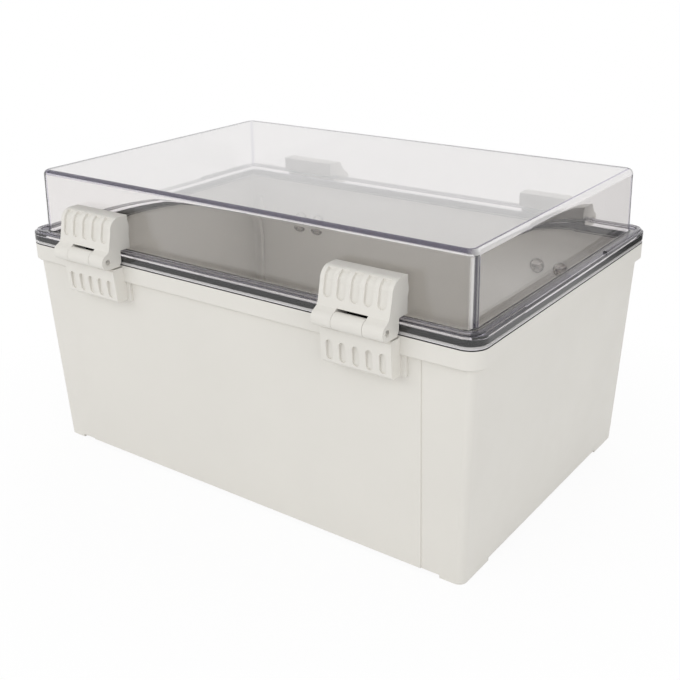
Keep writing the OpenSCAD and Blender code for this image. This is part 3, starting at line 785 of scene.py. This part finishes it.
# ---------------------------------------------------------------- stage

WHITE = (1.0, 1.0, 1.0, 1.0)
FLOOR_PAINT = (0.92, 0.92, 0.92, 1.0)
FLOOR_REACH = 4.0
SHADOW_FADE = (0.16, 0.30)  # the floor's shadow is gone at the second distance from the centre
CARD_CORNERS = ((0.24, 0.34), (0.60, 0.90))
CARD_HEIGHT = 0.5 * MM
CARD_FADE = (0.35, 0.50)    # the card darkens between these places along Y
LAMP_SIZE = (1.4, 1.0)
LAMP_AIM = Vector((0.0, 0.0, 0.08))
KEY_PLACE = (-0.55, -1.5, 1.0)
SIDE_PLACE = (1.55, -0.75, 0.85)
REAR_PLACE = (-0.70, 1.55, 0.85)
INSIDE_SIZE = (0.24, 0.15)
INSIDE_DROP = 0.006         # from the cover's top down to the lamp inside
SENSOR_WIDTH = 36.0
NEAREST = 0.01


def put(obj):
    bpy.context.scene.collection.objects.link(obj)
    return obj


def seen_directly(nodes):
    """1 for rays from the camera, a mirror or a clear part, 0 for light on a surface."""
    path = nodes.add("ShaderNodeLightPath")
    seen = nodes.maths("MAXIMUM", (path, "Is Camera Ray"), (path, "Is Glossy Ray"))
    return nodes.maths("MAXIMUM", (seen, "Value"), (path, "Is Transmission Ray"))


def flat_sheet(name, low, high, height):
    """A level rectangle between two corners, which is part of the stage."""
    bm = bmesh.new()
    bmesh.ops.create_grid(bm, x_segments=1, y_segments=1, size=1.0)
    for vert in bm.verts:
        x, y = (high[axis] if vert.co[axis] > 0.0 else low[axis] for axis in (0, 1))
        vert.co = (x, y, height)
    mesh = bpy.data.meshes.new(name)
    bm.to_mesh(mesh)
    bm.free()
    return put(bpy.data.objects.new(name, mesh))


def make_floor(stage):
    """A floor that shows white and keeps a share of the shadow near the box."""
    corner = (FLOOR_REACH, FLOOR_REACH)
    floor = flat_sheet("studio_floor", tuple(-c for c in corner), corner, 0.0)
    material = bpy.data.materials.new("white_floor")
    nodes = Nodes(material)
    output = nodes.add("ShaderNodeOutputMaterial")
    matt = nodes.add("ShaderNodeBsdfDiffuse", Color=FLOOR_PAINT)
    white = nodes.add("ShaderNodeEmission", Strength=1.0)
    mix = nodes.add("ShaderNodeMixShader")
    place = nodes.add("ShaderNodeTexCoord")
    far = nodes.add("ShaderNodeVectorMath", operation="LENGTH")
    nodes.link(place, "Object", far, 0)
    near, gone = SHADOW_FADE
    fade = nodes.spread(far, "Value", 1.0 - stage.floor_shadow, 1.0, near, gone)
    part = nodes.maths("MULTIPLY", (seen_directly(nodes), "Value"), (fade, "Result"))
    nodes.link(part, "Value", mix, "Fac")
    nodes.link(matt, "BSDF", mix, 1)
    nodes.link(white, "Emission", mix, 2)
    nodes.link(mix, "Shader", output, "Surface")
    paint(floor, material)


def make_card(stage):
    """A dark card on the floor at the right, behind the box, which only mirrors see.

    It takes the glare off the cover's right end."""
    card = flat_sheet("dark_card", *CARD_CORNERS, CARD_HEIGHT)
    card.visible_camera = card.visible_diffuse = card.visible_transmission = False
    card.visible_shadow = card.visible_volume_scatter = False
    material = bpy.data.materials.new("dark_card")
    nodes = Nodes(material)
    output = nodes.add("ShaderNodeOutputMaterial")
    tone = nodes.add("ShaderNodeEmission")
    place = nodes.add("ShaderNodeTexCoord")
    split = nodes.add("ShaderNodeSeparateXYZ")
    nodes.link(place, "Object", split, 0)
    start, end = CARD_FADE
    fade = nodes.spread(split, "Y", 1.0, stage.card_level, start, end)
    nodes.link(fade, "Result", tone, "Strength")
    nodes.link(tone, "Emission", output, "Surface")
    paint(card, material)


def make_sky(stage):
    """Even light from all round, which shows as plain white."""
    world = bpy.data.worlds.new("white_studio")
    nodes = Nodes(world)
    output = nodes.add("ShaderNodeOutputWorld")
    light = nodes.add("ShaderNodeBackground", Color=WHITE, Strength=stage.sky_level)
    white = nodes.add("ShaderNodeBackground", Color=WHITE, Strength=1.0)
    mix = nodes.add("ShaderNodeMixShader")
    nodes.link(seen_directly(nodes), "Value", mix, "Fac")
    nodes.link(light, "Background", mix, 1)
    nodes.link(white, "Background", mix, 2)
    nodes.link(mix, "Shader", output, "Surface")
    bpy.context.scene.world = world


def soft_lamp(name, size, level, place):
    """A soft lamp that faces down and that no camera, mirror or clear part sees."""
    lamp = bpy.data.lights.new(name, "AREA")
    lamp.shape = "RECTANGLE"
    lamp.size, lamp.size_y = size
    lamp.energy = level
    obj = bpy.data.objects.new(name, lamp)
    obj.location = place
    obj.visible_camera = obj.visible_glossy = obj.visible_transmission = False
    return put(obj)


def make_lamps(stage):
    """Three lamps round the box, and the light that the clear cover lets in."""
    for name, level, place in (
        ("soft_key", stage.key_level, KEY_PLACE),
        ("soft_side", stage.side_level, SIDE_PLACE),
        ("soft_rear", stage.rear_level, REAR_PLACE),
    ):
        lamp = soft_lamp(name, LAMP_SIZE, level, place)
        aim = LAMP_AIM - lamp.location
        lamp.rotation_euler = aim.to_track_quat("-Z", "Y").to_euler()
    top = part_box("cover")[1].z
    soft_lamp("through_cover", INSIDE_SIZE, stage.inside_level, (0.0, 0.0, top - INSIDE_DROP))


def make_camera(stage):
    data = bpy.data.cameras.new("camera")
    data.lens = stage.lens
    data.sensor_width = SENSOR_WIDTH
    data.clip_start = NEAREST
    camera = bpy.data.objects.new("camera", data)
    yaw, dip, roll = -stage.turn, stage.dip, stage.roll
    forward = Vector((sin(yaw) * cos(dip), cos(yaw) * cos(dip), -sin(dip)))
    right = Vector((cos(yaw), -sin(yaw), 0.0))
    up = right.cross(forward)
    tilted_right = cos(roll) * right + sin(roll) * up
    tilted_up = -sin(roll) * right + cos(roll) * up
    turn = Matrix((tilted_right, tilted_up, -forward)).transposed().to_4x4()
    camera.matrix_world = Matrix.Translation(stage.eye) @ turn
    bpy.context.scene.camera = put(camera)


# ---------------------------------------------------------------- operators

LATCH_PLASTIC = "latch_ivory_plastic"


class ENCLOSURE_OT_base(bpy.types.Operator):
    """Makes the moulded base with its small edges rounded, and the brass inserts"""

    bl_idname = "enclosure.base"
    bl_label = "Base"

    def execute(self, context):
        sizes, colours = context.scene.enclosure_sizes, context.scene.enclosure_colours
        ivory = moulded_plastic("base_ivory_plastic", colours.base_ivory)
        tub = softened("base_tub", "moulded_base", sizes.mould_edge, segments=2)
        finish_piece(tub, "base", "base_plastic", ivory, "base_tub")
        brass = plated_metal("turned_brass", colours.brass, low=0.22, high=0.38)
        paint_node("floor_inserts", brass)
        return {"FINISHED"}


class ENCLOSURE_OT_cover(bpy.types.Operator):
    """Makes the clear cover with its flange, bead and skirt"""

    bl_idname = "enclosure.cover"
    bl_label = "Clear cover"

    def execute(self, context):
        sizes, colours = context.scene.enclosure_sizes, context.scene.enclosure_colours
        clear = clear_polycarbonate("clear_polycarbonate", colours)
        finish_piece(make_clear_cover(sizes), "cover", "clear_plastic", clear, "cover")
        return {"FINISHED"}


class ENCLOSURE_OT_gasket(bpy.types.Operator):
    """Makes the rubber gasket in the channel of the cover, and a thin black strip on the rim as
    painted shadow under the skirt
    """

    bl_idname = "enclosure.gasket"
    bl_label = "Gasket"

    def execute(self, context):
        sizes, colours = context.scene.enclosure_sizes, context.scene.enclosure_colours
        rubber = gasket_rubber("gasket_rubber", colours.gasket_black)
        finish_piece(make_gasket(sizes), "cover", "gasket_rubber", rubber, "gasket")
        # painted shadow: a black strip in the gasket's rubber, in the gap under the skirt
        finish_piece(make_gap_shadow_strip(sizes), "base", "gasket_rubber", rubber)
        return {"FINISHED"}


class ENCLOSURE_OT_latches(bpy.types.Operator):
    """Makes the two front latches: hooks and brackets with soft edges"""

    bl_idname = "enclosure.latches"
    bl_label = "Latches"

    def execute(self, context):
        sizes, colours = context.scene.enclosure_sizes, context.scene.enclosure_colours
        ivory = moulded_plastic(LATCH_PLASTIC, colours.latch_ivory)
        finish_pairs(sizes, ivory, (
            ("latch_hook_{}", "latch_{}"), ("latch_bracket_{}", "base"),
        ))
        return {"FINISHED"}


class ENCLOSURE_OT_hinges(bpy.types.Operator):
    """Makes the two rear hinges with soft edges, in the plastic of the latches"""

    bl_idname = "enclosure.hinges"
    bl_label = "Hinges"

    def execute(self, context):
        finish_pairs(context.scene.enclosure_sizes, bpy.data.materials[LATCH_PLASTIC], (
            ("hinge_base_leaf_{}", "base"), ("hinge_cover_leaf_{}", "cover"),
        ))
        return {"FINISHED"}


class ENCLOSURE_OT_metalwork(bpy.types.Operator):
    """Gives the pins, screws and washers their metal"""

    bl_idname = "enclosure.metalwork"
    bl_label = "Pins and screws"

    def execute(self, context):
        colours = context.scene.enclosure_colours
        pins = plated_metal("pin_steel", colours.steel, low=0.22, high=0.36)
        plated = plated_metal("plated_steel", colours.screw_steel, low=0.04, high=0.12)
        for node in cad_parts:
            if "_pin_" in node:
                paint_node(node, pins)
            elif "_screws_" in node or "_washers_" in node:
                paint_node(node, plated)
        return {"FINISHED"}


class ENCLOSURE_OT_stage(bpy.types.Operator):
    """Sets up the floor, the soft light and the camera"""

    bl_idname = "enclosure.stage"
    bl_label = "Floor, light and camera"

    def execute(self, context):
        stage = context.scene.enclosure_stage
        for make in (make_floor, make_card, make_sky, make_lamps, make_camera):
            make(stage)
        context.scene.view_settings.view_transform = "Standard"
        return {"FINISHED"}


# ---------------------------------------------------------------- panel

OPERATORS = (
    ENCLOSURE_OT_base,
    ENCLOSURE_OT_cover,
    ENCLOSURE_OT_gasket,
    ENCLOSURE_OT_latches,
    ENCLOSURE_OT_hinges,
    ENCLOSURE_OT_metalwork,
    ENCLOSURE_OT_stage,
)


class ENCLOSURE_PT_panel(bpy.types.Panel):
    bl_label = "Enclosure"
    bl_space_type = "VIEW_3D"
    bl_region_type = "UI"
    bl_category = "Enclosure"

    def draw(self, context):
        layout = self.layout
        for operator in OPERATORS:
            layout.operator(operator.bl_idname)
        for group in ("enclosure_sizes", "enclosure_colours", "enclosure_stage"):
            settings = getattr(context.scene, group)
            box = layout.box()
            for name in settings.__annotations__:
                box.prop(settings, name)


CLASSES = (EnclosureSizes, EnclosureColours, EnclosureStage, *OPERATORS, ENCLOSURE_PT_panel)


def register():
    for cls in CLASSES:
        bpy.utils.register_class(cls)
    bpy.types.Scene.enclosure_sizes = PointerProperty(type=EnclosureSizes)
    bpy.types.Scene.enclosure_colours = PointerProperty(type=EnclosureColours)
    bpy.types.Scene.enclosure_stage = PointerProperty(type=EnclosureStage)


def unregister():
    del bpy.types.Scene.enclosure_stage
    del bpy.types.Scene.enclosure_colours
    del bpy.types.Scene.enclosure_sizes
    for cls in reversed(CLASSES):
        bpy.utils.unregister_class(cls)


def main():
    register()
    bpy.ops.enclosure.base()
    bpy.ops.enclosure.cover()
    bpy.ops.enclosure.gasket()
    bpy.ops.enclosure.latches()
    bpy.ops.enclosure.hinges()
    bpy.ops.enclosure.metalwork()
    bpy.ops.enclosure.stage()


if __name__ == "__main__":
    main()
